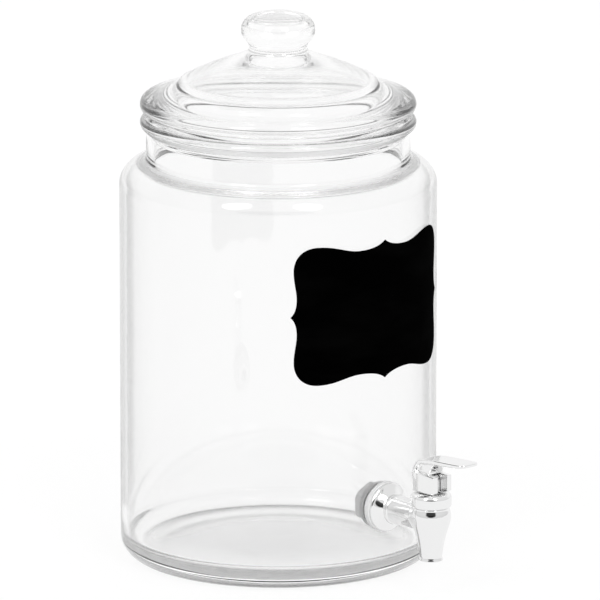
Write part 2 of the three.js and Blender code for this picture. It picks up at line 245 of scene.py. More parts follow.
def surface(name, distance, low, high, step):
    """The zero surface of a distance function over a box in (x, out, z), with normals from its slope."""
    axes = [np.arange(a - 1.5 * step, b + 2 * step, step) for a, b in zip(low, high)]
    grid = np.meshgrid(*axes, indexing="ij")
    value = distance(*grid)
    inside = value < 0
    nx, ny, nz = value.shape
    total = np.zeros((nx - 1, ny - 1, nz - 1, 3))
    count = np.zeros((nx - 1, ny - 1, nz - 1))
    origin = np.array([a[0] for a in axes])
    for axis in range(3):
        for u in (0, 1):
            for v in (0, 1):
                start = [0, 0, 0]
                others = [k for k in range(3) if k != axis]
                start[others[0]], start[others[1]] = u, v
                cut = tuple(slice(s, s + n - 1) for s, n in zip(start, value.shape))
                end = list(start)
                end[axis] += 1
                cut_end = tuple(slice(s, s + n - 1) for s, n in zip(end, value.shape))
                a, b = value[cut], value[cut_end]
                crossing = inside[cut] != inside[cut_end]
                share = np.where(crossing, a / np.where(a == b, 1, a - b), 0)
                for k in range(3):
                    total[..., k] += crossing * (start[k] + (share if k == axis else 0))
                count += crossing
    used = count > 0
    index = np.full(used.shape, -1)
    index[used] = np.arange(used.sum())
    cells = np.argwhere(used)
    points = origin + (cells + total[used] / count[used][:, None]) * step
    faces = []
    for axis in range(3):
        b, c = (axis + 1) % 3, (axis + 2) % 3
        shape = np.array(value.shape)
        ends = [slice(None)] * 3
        ends[axis] = slice(0, shape[axis] - 1)
        nexts = [slice(None)] * 3
        nexts[axis] = slice(1, shape[axis])
        edge = inside[tuple(ends)] != inside[tuple(nexts)]
        at = np.argwhere(edge)
        at = at[(at[:, b] > 0) & (at[:, c] > 0) & (at[:, b] < shape[b] - 1) & (at[:, c] < shape[c] - 1)]
        corners = []
        for db, dc in ((-1, -1), (0, -1), (0, 0), (-1, 0)):
            cell = at.copy()
            cell[:, b] += db
            cell[:, c] += dc
            corners.append(index[cell[:, 0], cell[:, 1], cell[:, 2]])
        quads = np.stack(corners, 1)
        outward = inside[tuple(at.T)]
        quads[~outward] = quads[~outward][:, ::-1]
        faces.append(quads)
    faces = np.concatenate(faces)
    delta = step * 0.02

    def slope(p):
        g = np.stack([distance(*(p + delta * np.eye(3)[k]).T) - distance(*(p - delta * np.eye(3)[k]).T)
                      for k in range(3)], 1)
        return g / np.maximum(np.linalg.norm(g, axis=1), 1e-9)[:, None]

    for _ in range(3):
        move = np.clip(distance(*points.T), -0.3 * step, 0.3 * step)
        points = points - slope(points) * move[:, None]
    n = slope(points)
    verts = np.stack([points[:, 0], JAR_Y - points[:, 1], points[:, 2]], 1) * MM
    return make_object(name, verts, faces, normals=np.stack([n[:, 0], -n[:, 1], n[:, 2]], 1))


# ---- materials ------------------------------------------------------------------------------------------


class Graph:
    """Short calls for building one node tree."""

    def __init__(self, tree):
        self.tree = tree

    def node(self, kind, **settings):
        node = self.tree.nodes.new("ShaderNode" + kind)
        for name, value in settings.items():
            setattr(node, name, value)
        return node

    def link(self, output, socket):
        self.tree.links.new(output, socket)

    def maths(self, operation, *values, clamp=False):
        node = self.node("Math", operation=operation, use_clamp=clamp)
        for socket, value in zip(node.inputs, values):
            if isinstance(value, (int, float)):
                socket.default_value = value
            else:
                self.link(value, socket)
        return node.outputs[0]

    def along(self, vector, fixed):
        """How far a vector reaches along a fixed direction."""
        node = self.node("VectorMath", operation="DOT_PRODUCT")
        node.inputs[1].default_value = fixed
        self.link(vector, node.inputs[0])
        return node.outputs["Value"]

    def ramp(self, value, stops):
        """Shades between stops, which are (value, grey or colour) from low to high."""
        low, high = stops[0][0], stops[-1][0]
        place = self.node("MapRange")
        place.inputs["From Min"].default_value = low
        place.inputs["From Max"].default_value = high
        self.link(value, place.inputs["Value"])
        ramp = self.node("ValToRGB")
        while len(ramp.color_ramp.elements) < len(stops):
            ramp.color_ramp.elements.new(0.5)
        for element, (position, shade) in zip(ramp.color_ramp.elements, stops):
            element.position = (position - low) / (high - low)
            colour = shade if isinstance(shade, tuple) else (shade, shade, shade)
            element.color = (*colour, 1)
        self.link(place.outputs["Result"], ramp.inputs["Fac"])
        return ramp.outputs["Color"]

    def unless_direct(self, direct, value):
        """A fixed value where it is seen directly, and the given one in glass, in mirrors and as light."""
        path = self.node("LightPath").outputs["Is Camera Ray"]
        indirect = self.maths("MULTIPLY", self.maths("SUBTRACT", 1.0, path), value)
        return self.maths("ADD", self.maths("MULTIPLY", path, direct), indirect)


class Surface(Graph):
    """A material with one Principled shader, and the textures that drive it."""

    def __init__(self, name, colour, roughness=0.5, **sockets):
        self.material = bpy.data.materials.new(name)
        self.material.use_nodes = True
        super().__init__(self.material.node_tree)
        self.shader = self.tree.nodes["Principled BSDF"]
        self.shader.inputs["Base Color"].default_value = (*colour, 1)
        self.shader.inputs["Roughness"].default_value = roughness
        for socket, value in sockets.items():
            self.shader.inputs[socket.replace("_", " ")].default_value = value

    def noise(self, scale, detail=3.0, stretch=(1, 1, 1)):
        place = self.node("TexCoord")
        mapping = self.node("Mapping")
        mapping.inputs["Scale"].default_value = stretch
        noise = self.node("TexNoise")
        noise.inputs["Scale"].default_value = scale
        noise.inputs["Detail"].default_value = detail
        self.link(place.outputs["Object"], mapping.inputs["Vector"])
        self.link(mapping.outputs["Vector"], noise.inputs["Vector"])
        return noise.outputs["Fac"]

    def turned_away(self):
        """0 where the surface faces the eye, 1 at its outline."""
        return self.node("LayerWeight").outputs["Facing"]

    def to(self, value, socket):
        self.link(value, self.shader.inputs[socket])
        return self

    def bump(self, value, distance, strength=1.0):
        bump = self.node("Bump")
        bump.inputs["Strength"].default_value = strength
        bump.inputs["Distance"].default_value = distance
        self.link(value, bump.inputs["Height"])
        self.link(bump.outputs["Normal"], self.shader.inputs["Normal"])
        return self


def clear_glass(name, tint_and_edge_shade, edge_shade_share_by_height, least_haze, most_haze):
    """Pressed glass: clear, darker towards its outline by painted shade, with slow waves and the faintest
    haze.
    """
    s = Surface(name, (0.985, 0.985, 0.985), Transmission_Weight=1.0, IOR=1.5)
    height = s.along(s.node("TexCoord").outputs["Object"], (0, 0, 1))
    # Painted shade: the base colour darkens as the surface turns away from the eye, weighted by height.
    share = s.ramp(height, [(z, part / 2) for z, part in edge_shade_share_by_height])
    turned = s.maths("MULTIPLY", s.turned_away(), s.maths("MULTIPLY", share, 2.0))
    s.to(s.ramp(turned, tint_and_edge_shade), "Base Color")
    s.to(s.ramp(s.noise(9, 4), [(0.35, least_haze), (0.8, most_haze)]), "Roughness")
    return s.bump(s.noise(26, 1.5), 0.00022, 0.5).material


def ground_glass():
    """The jar's underside, which is left rough."""
    s = Surface("ground_glass", (0.985, 0.985, 0.985), Transmission_Weight=1.0, IOR=1.5)
    s.to(s.ramp(s.noise(150, 4), [(0.3, 0.34), (0.7, 0.42)]), "Roughness")
    return s.bump(s.noise(1500, 2), 0.00002, 0.4).material


def clear_silicone():
    s = Surface("clear_silicone", (0.98, 0.98, 0.98), Transmission_Weight=1.0, IOR=1.05)
    s.to(s.ramp(s.noise(160, 3), [(0, 0.03), (1, 0.12)]), "Roughness")
    return s.bump(s.noise(420, 2), 0.00001, 0.3).material


def milky_silicone():
    s = Surface("milky_silicone", (0.97, 0.97, 0.97), Transmission_Weight=0.2, IOR=1.2)
    s.to(s.ramp(s.noise(180, 3), [(0, 0.95), (1, 0.99)]), "Base Color")
    s.to(s.ramp(s.noise(160, 3), [(0, 0.3), (1, 0.5)]), "Roughness")
    return s.bump(s.noise(420, 2), 0.00002, 0.4).material


def seal_silicone():
    s = Surface("seal_silicone", (0.8, 0.8, 0.78), Subsurface_Weight=0.25)
    s.to(s.ramp(s.noise(240, 3), [(0.3, (0.76, 0.76, 0.73)), (0.7, (0.84, 0.84, 0.82))]), "Base Color")
    s.to(s.ramp(s.noise(300, 2), [(0.3, 0.4), (0.7, 0.56)]), "Roughness")
    return s.bump(s.noise(700, 2), 0.00003, 0.6).material


def chalkboard():
    """Matt black film with the faintest wiped chalk and a fine tooth."""
    s = Surface("chalkboard", (0.001, 0.001, 0.001), Specular_IOR_Level=0.005)
    s.to(s.ramp(s.noise(22, 5, (1, 1, 2.6)), [(0.45, 0.0002), (0.75, 0.0012)]), "Base Color")
    s.to(s.ramp(s.noise(90, 4), [(0.3, 0.84), (0.7, 0.97)]), "Roughness")
    return s.bump(s.noise(2600, 2), 0.00002, 0.5).material


def film_backing():
    """The glued side of the film, seen only through the glass."""
    s = Surface("film_backing", (0.5, 0.5, 0.5), Specular_IOR_Level=0.1)
    s.to(s.ramp(s.noise(60, 4), [(0.3, 0.42), (0.7, 0.56)]), "Base Color")
    s.to(s.ramp(s.noise(120, 3), [(0.3, 0.6), (0.7, 0.8)]), "Roughness")
    return s.bump(s.noise(900, 2), 0.00002, 0.4).material


def chrome():
    """Bright plating on a moulded base: almost a mirror, with faint ripple and handling haze."""
    s = Surface("chrome", (0.87, 0.87, 0.87), Metallic=1.0)
    s.to(s.ramp(s.noise(70, 5), [(0.35, 0.02), (0.8, 0.055)]), "Roughness")
    return s.bump(s.noise(130, 1.5), 0.00003, 0.4).material


def drawn_steel():
    s = Surface("drawn_steel", (0.78, 0.78, 0.78), Metallic=1.0)
    s.to(s.ramp(s.noise(500, 4, (1, 1, 0.08)), [(0.3, 0.2), (0.7, 0.36)]), "Roughness")
    return s.bump(s.noise(900, 2, (1, 1, 0.1)), 0.00002, 0.5).material


def nut_plastic():
    s = Surface("nut_plastic", (0.93, 0.93, 0.93))
    s.to(s.ramp(s.noise(120, 4), [(0.3, 0.9), (0.7, 0.96)]), "Base Color")
    s.to(s.ramp(s.noise(200, 3), [(0.3, 0.3), (0.7, 0.46)]), "Roughness")
    return s.bump(s.noise(900, 2), 0.00003, 0.6).material


# ---- the glass ------------------------------------------------------------------------------------------

JAR_FACETS = 240
PATCH = 6                                          # half the width, in cells, of the patch round the tap hole
CELL = 2 * math.pi * BODY_R / JAR_FACETS
HEEL_R = 84.0                                      # inside of the flat ring that the jar stands on


def jar_profile():
    """The jar's section from the middle of its underside round to the middle of its floor."""
    inner = BODY_R - WALL
    patch_low, patch_high = TAP_Z - PATCH * CELL, TAP_Z + PATCH * CELL
    return chain(
        bend((0, 6), (35, 5.9), (60, 2.5), (HEEL_R, 0), 24),
        straight((HEEL_R, 0), (BODY_R - 14, 0), 4),
        arc(BODY_R - 14, 14, 14, -90, 0, 20),
        straight((BODY_R, 14), (BODY_R, patch_low), 4),
        straight((BODY_R, patch_low), (BODY_R, patch_high), 2 * PATCH),
        straight((BODY_R, patch_high), (BODY_R, 247), 24),
        arc(88, 247, BODY_R - 88, 0, 75, 16),
        bend((91.88, 261.49), (88.6, 262.4), (85.6, 263.2), (85.6, 267), 10),
        straight((85.6, 267), (85.6, 282.3), 3),
        bend((85.6, 282.3), (85.6, 284), (86.4, 284.2), (87.6, 284.9), 5),
        arc(86.2, RIM_TOP - 3.3, 3.3, -60, 90, 14),
        straight((86.2, RIM_TOP), (83.2, RIM_TOP), 2),
        arc(83.2, RIM_TOP - 2.4, 2.4, 90, 180, 8),
        straight((80.8, RIM_TOP - 2.4), (80.8, 266), 4),
        bend((80.8, 266), (80.8, 260), (83, 257.6), (88, 257.5), 10),
        arc(88, 247, inner - 88, 90, 0, 12),
        straight((inner, 247), (inner, patch_high), 24),
        straight((inner, patch_high), (inner, patch_low), 2 * PATCH),
        straight((inner, patch_low), (inner, 18), 2),
        bend((inner, 18), (inner, 16.5), (97.5, 15.3), (94, 14), 10),
        bend((94, 14), (86, 11), (76, 9.5), (62, 9.5), 12),
        bend((62, 9.5), (46, 9.5), (30, 12.5), (0, 12.5), 20),
    )


def jar_glass():
    profile = jar_profile()
    verts, faces = turned_parts(profile, JAR_FACETS, on_jar_axis)
    inner = BODY_R - WALL
    first = {}
    at = 0
    for j, (r, z) in enumerate(profile):
        first[j] = at
        at += 1 if r < 1e-6 else JAR_FACETS

    def rows_of(radius):
        low, high = TAP_Z - PATCH * CELL - 0.01, TAP_Z + PATCH * CELL + 0.01
        found = [j for j, (r, z) in enumerate(profile) if abs(r - radius) < 1e-6 and low < z < high]
        return sorted(found, key=lambda j: profile[j][1])

    drop = set()
    loops = []
    for radius in (BODY_R, inner):
        rows = rows_of(radius)
        grid = {(i, j): first[rows[j]] + i % JAR_FACETS
                for i in range(-PATCH, PATCH + 1) for j in range(2 * PATCH + 1)}
        for i in range(-PATCH, PATCH):
            for j in range(2 * PATCH):
                drop.add(frozenset((grid[i, j], grid[i + 1, j], grid[i + 1, j + 1], grid[i, j + 1])))
        side = range(2 * PATCH)
        border = ([grid[i - PATCH, 0] for i in side] + [grid[PATCH, j] for j in side]
                  + [grid[PATCH - i, 2 * PATCH] for i in side] + [grid[-PATCH, 2 * PATCH - j] for j in side])
        loops.append((radius, border))
    faces = [f for f in faces if frozenset(f) not in drop]

    def on_wall(radius, x, z, depth=0.0):
        return on_jar_axis(x, -math.sqrt(radius ** 2 - x ** 2) + depth, z)

    def add_loop(points):
        start = len(verts)
        verts.extend(points)
        return list(range(start, start + len(points)))

    def bridge(a, b):
        count = len(a)
        for i in range(count):
            n = (i + 1) % count
            faces.append((a[i], a[n], b[n], b[i]))

    rim_r = HOLE_R + 0.8                           # where the hole's rounded edge begins on the wall
    throats = []
    for radius, border in loops:
        into = 1 if radius == BODY_R else -1
        flat = [(verts[v][0] / MM, verts[v][2] / MM - TAP_Z) for v in border]
        turn = [math.atan2(z, x) for x, z in flat]
        last = border
        for share in (0.25, 0.5, 0.75, 1.0):
            ring = []
            for (x, z), a in zip(flat, turn):
                rim_x, rim_z = rim_r * math.cos(a), rim_r * math.sin(a)
                ring.append(on_wall(radius, x + (rim_x - x) * share, TAP_Z + z + (rim_z - z) * share))
            loop = add_loop(ring)
            bridge(last, loop)
            last = loop
        for drop_in, depth in ((0.25, 0.05), (0.6, 0.25), (0.8, 0.8)):
            r = rim_r - drop_in
            loop = add_loop([on_wall(radius, r * math.cos(a), TAP_Z + r * math.sin(a), into * depth)
                             for a in turn])
            bridge(last, loop)
            last = loop
        throats.append(last)
    bridge(*throats)
    jar = make_object("jar_glass", verts, faces, sharp_deg=50)
    # The underside is rough, out to just past the flat ring that it stands on.
    for polygon in jar.data.polygons:
        middle_r = math.hypot(polygon.center.x, polygon.center.y - JAR_Y * MM) / MM
        if middle_r < HEEL_R + 7 and polygon.normal.z < -0.3:
            polygon.material_index = 1
    return jar


def lid_glass():
    plug = 76.9
    profile = chain(
        bend((0, 328.4), (24, 328), (44, 319.6), (58, 311), 14),
        bend((58, 311), (66, 306), (72.9, 303), (72.9, 295), 8),
        straight((72.9, 295), (72.9, 282.6), 3),
        arc(74.9, 283, 2, 180, 360, 10),
        straight((plug, 283), (plug, LID_SEAT - 1), 3),
        bend((plug, LID_SEAT - 1), (plug, LID_SEAT), (plug, LID_SEAT), (plug + 1, LID_SEAT), 4),
        straight((plug + 1, LID_SEAT), (84.3, LID_SEAT + 0.1), 2),
        arc(84.3, 299.9, 5.2, -90, 68, 16),
        bend((86.25, 304.72), (82, 306.4), (72, 309.6), (67, 311.8), 8),
        bend((67, 311.8), (65, 312.7), (64.2, 315.4), (62.4, 316.6), 6),
        through([(62.4, 316.6), (50, 322.3), (40, 326.5), (26, 331.8), (20.6, 334.2)], 8),
        bend((20.6, 334.2), (18.6, 335.4), (18, 337.5), (20.2, 340.8), 6),
        arc(16.4, 348.6, 7.6, -60, 62, 18, 9),
        bend((19.97, 356.55), (17, 358.8), (8, LID_TOP), (0, LID_TOP), 10),
    )
    return turned("lid_glass", profile, 192, sharp_deg=60)


def gasket_ring():
    inner, outer, lip = 77.05, 79.6, 80.7
    low, high = RIM_TOP + 0.06, LID_SEAT - 0.06
    stretches = [straight((inner + 0.6, 278), (outer - 0.6, 278), 1)]
    for z in (281, 286):
        stretches.append(bend((outer, z - 1.4), (outer + 0.2, z - 0.8), (lip, z - 0.6), (lip, z), 4))
        stretches.append(bend((lip, z), (lip, z + 0.6), (outer + 0.2, z + 0.8), (outer, z + 1.4), 4))
    profile = chain(
        *stretches,
        bend((outer, low - 1.6), (outer, low), (outer, low), (outer + 1.4, low), 4),
        straight((outer + 1.4, low), (85.3, low), 1),
        arc(85.3, (low + high) / 2, 0.95, -90, 90, 10, (high - low) / 2),
        straight((85.3, high), (inner + 0.4, high), 1),
        [(inner, high - 0.5), (inner, 278.6), (inner + 0.6, 278)],
    )
    return turned("gasket_ring", profile, 160)


# ---- the label ------------------------------------------------------------------------------------------


LABEL_HALF_W = 67.0                                # along the wall, not straight across


def label_outline():
    """The bracketed outline, flat, in (along, up) from its middle: one quarter as curves, then mirrored."""
    half_h = span("chalkboard_label")[1].z - LABEL_Z
    quarter = chain(
        bend((0, half_h), (4.5, 41.8), (12, 40.6), (20, 40.7), 12),
        bend((20, 40.7), (30, 40.9), (36, 45.4), (49, 45.4), 12),
        bend((49, 45.4), (59, 45.4), (64.9, 39), (64.9, 30), 14),
        bend((64.9, 30), (64.9, 22), (62.6, 17), (63, 10), 10),
        bend((63, 10), (63.2, 5.5), (64.6, 2), (LABEL_HALF_W, 0), 8),
    )
    right = quarter + [(x, -y) for x, y in reversed(quarter[:-1])]
    return right + [(-x, -y) for x, y in right[1:-1]]


def label_film():
    """The outline is cut into narrow upright strips, so that it bends smoothly round the wall."""
    bm = bmesh.new()
    bm.faces.new([bm.verts.new((x, y, 0)) for x, y in label_outline()])
    strip = 2.0
    outermost = int(LABEL_HALF_W / strip)
    for k in range(-outermost, outermost + 1):
        geometry = list(bm.verts) + list(bm.edges) + list(bm.faces)
        bmesh.ops.bisect_plane(bm, geom=geometry, plane_co=(k * strip, 0, 0), plane_no=(1, 0, 0))
    flat = [v.co.copy() for v in bm.verts]
    bm.verts.index_update()
    faces = [[v.index for v in f.verts] for f in bm.faces]
    border = [[v.index for v in e.verts] for e in bm.edges if len(e.link_faces) == 1]
    bm.free()
    count = len(flat)
    back, front = BODY_R + 0.04, BODY_R + 0.3
    verts = []
    for radius in (back, front):
        for p in flat:
            a = p.x / BODY_R
            verts.append(on_jar_axis(radius * math.sin(a), -radius * math.cos(a), LABEL_Z + p.y))
    all_faces = faces + [[count + v for v in reversed(f)] for f in faces]
    all_faces += [[a, b, count + b, count + a] for a, b in border]
    film = make_object("label_film", verts, all_faces, sharp_deg=40)
    for polygon in film.data.polygons[:len(faces)]:
        polygon.material_index = 1
    return film


# ---- the tap --------------------------------------------------------------------------------------------


def housing_profile():
    return chain(
        [(0, NOZZLE_Z), (7.0, NOZZLE_Z)],
        arc(7.1, NOZZLE_Z + 0.7, 0.7, -90, 0, 4),
        through([(7.8, NOZZLE_Z + 0.7), (7.68, 25.2), (7.3, 26.6), (7.45, 28.4), (7.8, 31), (8.6, 35.8),
                 (10.3, 42.6), (12.2, 48.6), (12.85, 52), (12.95, 54), (12.7, 56.0), (12.15, 58.2),
                 (12.05, 59)], 5),
        bend((12.05, 59), (12.05, 59.4), (11.9, SEAM_Z), (11.6, SEAM_Z), 4),
        [(0, SEAM_Z)],
    )


def barrel_profile():
    """(radius, out) along the shank."""
    flange = 106.1
    return chain(
        [(0, SHANK_END), (7.2, SHANK_END), (SHANK_R, SHANK_END + 0.8), (SHANK_R, flange), (14.9, flange)],
        arc(14.9, flange + 0.8, 0.8, -90, 0, 3),
        bend((15.7, flange + 0.8), (15.6, flange + 1.5), (15.0, flange + 1.8), (14.2, flange + 2.2), 6),
        bend((14.2, flange + 2.2), (13.0, flange + 2.9), (11.8, flange + 3.9), (10.8, flange + 4.9), 8),
        bend((10.8, flange + 4.9), (10.0, flange + 5.7), (9.5, flange + 6.0), (9.45, flange + 6.7), 5),
        bend((9.45, 113), (9.9, 113), (10.05, 113.6), (10.05, 114.5), 3),
        bend((10.05, 114.5), (10.05, 115.4), (9.9, 116), (9.35, 116), 3),
        [(8.8, VALVE_OUT - 12), (8.8, VALVE_OUT - 4), (0, VALVE_OUT - 4)],
    )


def tap_casting():
    """Housing, barrel, flange and threaded shank in one, with the chamber, outlet and waterway inside."""
    housing, barrel = housing_profile(), barrel_profile()
    seat = 45.0
    thread_end, pitch, half_depth = 103.5, 1.5, 0.3
    chamber = [(0, NOZZLE_Z - 3), (5.2, NOZZLE_Z - 3), (5.2, NOZZLE_Z), (4.6, NOZZLE_Z + 1.5),
               (4.6, seat - 1), (5.6, seat), (9.5, seat), (9.5, SEAM_Z + 3), (0, SEAM_Z + 3)]
    waterway = [(0, SHANK_END - 3), (4.5, SHANK_END - 3), (4.5, VALVE_OUT), (0, VALVE_OUT)]

    def distance(x, out, z):
        from_valve = np.hypot(x, out - VALVE_OUT)
        from_shank = np.hypot(x, z - TAP_Z)
        turn = np.arctan2(z - TAP_Z, x) / (2 * math.pi)
        threaded = (out > SHANK_END + 1) & (out < thread_end)
        thread = np.where(threaded, half_depth * (1 - np.cos(2 * math.pi * (out / pitch - turn))), 0)
        outer = polygon_distance(from_valve, z, housing)
        body = blend_join(outer, polygon_distance(from_shank + thread, out, barrel), 2.2)
        hollow = np.minimum(polygon_distance(from_valve, z, chamber),
                            polygon_distance(from_shank, out, waterway))
        return np.maximum(body, -hollow)

    low, high = (-16, SHANK_END, NOZZLE_Z), (16, VALVE_OUT + 13.2, TAP_Z + 16)
    return surface("tap_casting", distance, low, high, 0.4)


def bonnet_cap():
    stem_hole, pocket, skirt = 2.75, 61.7, 57.5
    low = SEAM_Z + 0.25
    profile = chain(
        [(stem_hole, pocket), (6.6, pocket), (6.6, skirt), (9.3, skirt), (9.3, low), (9.9, low),
         (9.9, low + 1.2), (11.6, low + 1.2), (11.6, low), (BONNET_R - 1, low)],
        arc(BONNET_R - 1, low + 0.9, 1, -90, 0, 6, 0.9),
        straight((BONNET_R, low + 0.9), (BONNET_R, 65.6), 3),
        bend((BONNET_R, 65.6), (BONNET_R, 67.8),
             (BONNET_R - 1.6, BONNET_TOP), (BONNET_R - 4.2, BONNET_TOP), 12),
        straight((BONNET_R - 4.2, BONNET_TOP), (stem_hole + 0.4, BONNET_TOP), 3),
        [(stem_hole, BONNET_TOP - 0.4), (stem_hole, pocket)],
    )
    return turned("bonnet_cap", profile, 128, on_valve_axis, sharp_deg=40)


def lever_handle():
    """Two cheeks with a cam foot, a neck, and a flat paddle. `ahead` is the distance in front of the pin."""
    foot = BONNET_TOP + 0.3 - PIN_Z
    back, front, cheek_top = -9.6, 10.9, 4.8
    tip = LEVER_TIP - VALVE_OUT
    head_half, neck_half, paddle_half, slot_half = 8.0, 6.2, 8.5, 4.0
    corner = 5.5                                   # of the paddle, seen from above
    hole_r, hole_half = 1.4, 6.7                   # for the pin, blind at both ends
    cam = []
    for i in range(9):
        a = math.radians(30) * i / 8
        reach = CAM_GAIN * a - foot
        cam.append((reach * math.sin(a) + CAM_GAIN * math.cos(a),
                    CAM_GAIN * math.sin(a) - reach * math.cos(a)))
    head = chain([(back, foot)], cam, [(front, -5.6), (front, cheek_top)], [(back, cheek_top + 1.4)])
    neck = chain(
        [(back + 0.6, 0), (4, 0)],
        bend((4, 3), (4.5, 9), (8, 13.4), (15, 14.2), 8),
        [(14, 15), (-1, 14.0)],
        bend((-1, 14.0), (-6, 13.2), (back + 0.6, 9.5), (back + 0.6, 3), 6),
    )
    strap = chain(
        [(back, 2.5), (back + 2.4, 2.5)],
        bend((back + 2.4, 3), (back + 2.4, 8.5), (-5, 12), (-0.5, 12.7), 8),
        bend((-0.5, 12.7), (8, 14.2), (22, 14.2), (tip + 3, 16.2), 10),
        [(tip + 3, 18.2)],
        bend((tip + 3, 18.2), (22, 16.4), (6, 16.9), (-2.6, 14.6), 10),
        bend((-2.6, 14.6), (-7.5, 13), (back, 8.5), (back, 3), 8),
    )

    def distance(x, out, z):
        ahead, up = out - VALVE_OUT, z - PIN_Z
        cheeks = slab(polygon_distance(ahead, up, head), x, head_half, 0.9)
        middle_neck = slab(polygon_distance(ahead, up, neck), x, neck_half, 1.2)
        plan_a, plan_b = ahead - (tip - corner), np.abs(x) - (paddle_half - corner)
        plan = (np.minimum(np.maximum(plan_a, plan_b), 0)
                + np.hypot(np.maximum(plan_a, 0), np.maximum(plan_b, 0)) - corner)
        paddle = slab(polygon_distance(ahead, up, strap), x, paddle_half, 0.5)
        paddle = -blend_join(-paddle, -plan, 0.8)
        solid = blend_join(blend_join(cheeks, middle_neck, 1.6), paddle, 1.6)
        slot = np.maximum(np.maximum(np.abs(x) - slot_half, -6.4 - ahead), up - 5.4)
        solid = blend_cut(solid, slot, 0.6)
        pin = np.maximum(np.hypot(ahead, up) - hole_r, np.abs(x) - hole_half)
        return np.maximum(solid, -pin)

    low = (-9, VALVE_OUT + back - 0.6, PIN_Z + foot - 0.3)
    high = (9, LEVER_TIP + 0.2, PIN_Z + 18.8)
    return surface("lever_handle", distance, low, high, 0.36)


def stem_bar():
    """Foot, spring collar, O-ring groove and the flat head that the lever turns on."""
    foot, collar = span("valve_stem")[0].z, 51.0
    shaft = [(0, foot), (2.3, foot), (2.6, foot + 0.3), (2.6, collar), (6, collar), (6, collar + 1.3),
             (2.6, collar + 1.3), (2.6, 64.6), (1.8, 64.6), (1.8, 66.2), (2.6, 66.2), (2.6, 74), (0, 74)]
    low = BONNET_TOP + 0.6 - PIN_Z
    head = chain([(-4.4, low), (4.4, low)], arc(0, 0, 4.4, 0, 180, 20))

    def distance(x, out, z):
        ahead, up = out - VALVE_OUT, z - PIN_Z
        rod = polygon_distance(np.hypot(x, ahead), z, shaft)
        flat = slab(polygon_distance(ahead, up, head), x, 3.7, 0.5)
        hole = np.hypot(ahead, up) - 1.3
        return np.maximum(np.minimum(rod, flat), -hole)

    low, high = (-6.2, VALVE_OUT - 6.2, foot), (6.2, VALVE_OUT + 6.2, PIN_Z + 4.4)
    return surface("stem_bar", distance, low, high, 0.3)


def seat_plug():
    low, high = span("seat_cup")[0].z - 0.2, span("seat_cup")[1].z
    profile = chain(
        [(0, low + 0.5), (3.4, low + 0.5), (4.2, low)],
        straight((4.2, low), (5.6, low), 1),
        bend((5.6, low), (6.6, low + 0.3), (6.8, low + 1.8), (7.0, low + 3), 5),
        bend((7.0, low + 3), (7.4, low + 4), (7.6, high - 1.2), (7.5, high), 4),
        [(2.8, high), (2.8, 47.2), (0, 47.2)],
    )
    return turned("seat_plug", profile, 64, on_valve_axis)


def o_ring(name, radius, z, thick):
    return turned(name, arc(radius, z, thick, 0, 360, 20), 64, on_valve_axis)


def pin_rod():
    half = span("pivot_pin")[1].x
    radius = 1.25
    profile = [(0, -half), (radius - 0.25, -half), (radius, -half + 0.25), (radius, half - 0.25),
               (radius - 0.25, half), (0, half)]
    return turned("pin_rod", profile, 48, along_pin)


def spring_coil():
    """Five and a half turns of round wire, wound closer towards both ends."""
    wire, radius, turns, sides = 0.5, 4.4, 5.5, 12
    low, high = SPRING_LOW - SPRING_PAST + wire, SPRING_HIGH + SPRING_PAST - wire
    steps = int(turns * 40)
    verts, faces = [], []
    for i in range(steps + 1):
        t = i / steps
        angle = 2 * math.pi * turns * t
        eased = 0.5 - 0.5 * math.cos(math.pi * t)
        z = low + (high - low) * (0.35 * eased + 0.65 * t)
        for k in range(sides):
            a = 2 * math.pi * k / sides
            r = radius + wire * math.cos(a)
            verts.append(on_valve_axis(r * math.cos(angle), r * math.sin(angle), z + wire * math.sin(a)))
    for i in range(steps):
        for k in range(sides):
            n = (k + 1) % sides
            faces.append((i * sides + k, i * sides + n, (i + 1) * sides + n, (i + 1) * sides + k))
    faces.append(tuple(range(sides)))
    faces.append(tuple(range(steps * sides, (steps + 1) * sides)))
    return make_object("spring_coil", verts, faces)


def washer(name, radius, near, far, wall, outside):
    """A soft washer with one flat face. The other is pressed to the glass, at `wall` from the jar's axis."""

    def distance(x, out, z):
        flat = np.hypot(x, z - TAP_Z)
        section = np.maximum(flat - radius, SHANK_R + 0.1 - flat)
        disc = slab(section, out - (near + far) / 2, (far - near) / 2, 0.6)
        glass = np.hypot(x, out) - wall
        return np.maximum(disc, -glass if outside else glass)

    low = (-radius, near, TAP_Z - radius)
    high = (radius, far, TAP_Z + radius)
    return surface(name, distance, low, high, 0.45)


def hex_nut():
    near, far = JAR_Y - span("lock_nut")[1].y, JAR_Y - span("lock_nut")[0].y
    corner = (span("lock_nut")[1].z - span("lock_nut")[0].z) / 2
    hexagon = [(corner * math.cos(math.radians(90 + 60 * i)), corner * math.sin(math.radians(90 + 60 * i)))
               for i in range(6)]

    def distance(x, out, z):
        up = z - TAP_Z
        flat = polygon_distance(x, up, hexagon)
        body = slab(flat, out - (near + far) / 2, (far - near) / 2, 0.5)
        radial = np.hypot(x, up)
        chamfer = (radial + np.abs(out - (near + far) / 2) - corner * 0.9 - (far - near) / 2) * 0.7071
        return np.maximum(np.maximum(body, chamfer), SHANK_R + 0.12 - radial)

    return surface("hex_nut", distance, (-corner, near, TAP_Z - corner), (corner, far, TAP_Z + corner), 0.45)


# ---- camera and studio ----------------------------------------------------------------------------------

# The camera's side of the jar, as an angle from the front. The lens and its sensor are in millimetres. The
# camera's distance, its height, and the aim's height and shift to the right are in metres.
VIEW_AZIMUTH = math.radians(-41.7)
LENS, SENSOR = 570.2, 36
CAMERA_AWAY, CAMERA_HEIGHT = 6.0, 1.62594
AIM_HEIGHT, AIM_RIGHT = 0.16894, 0.01412


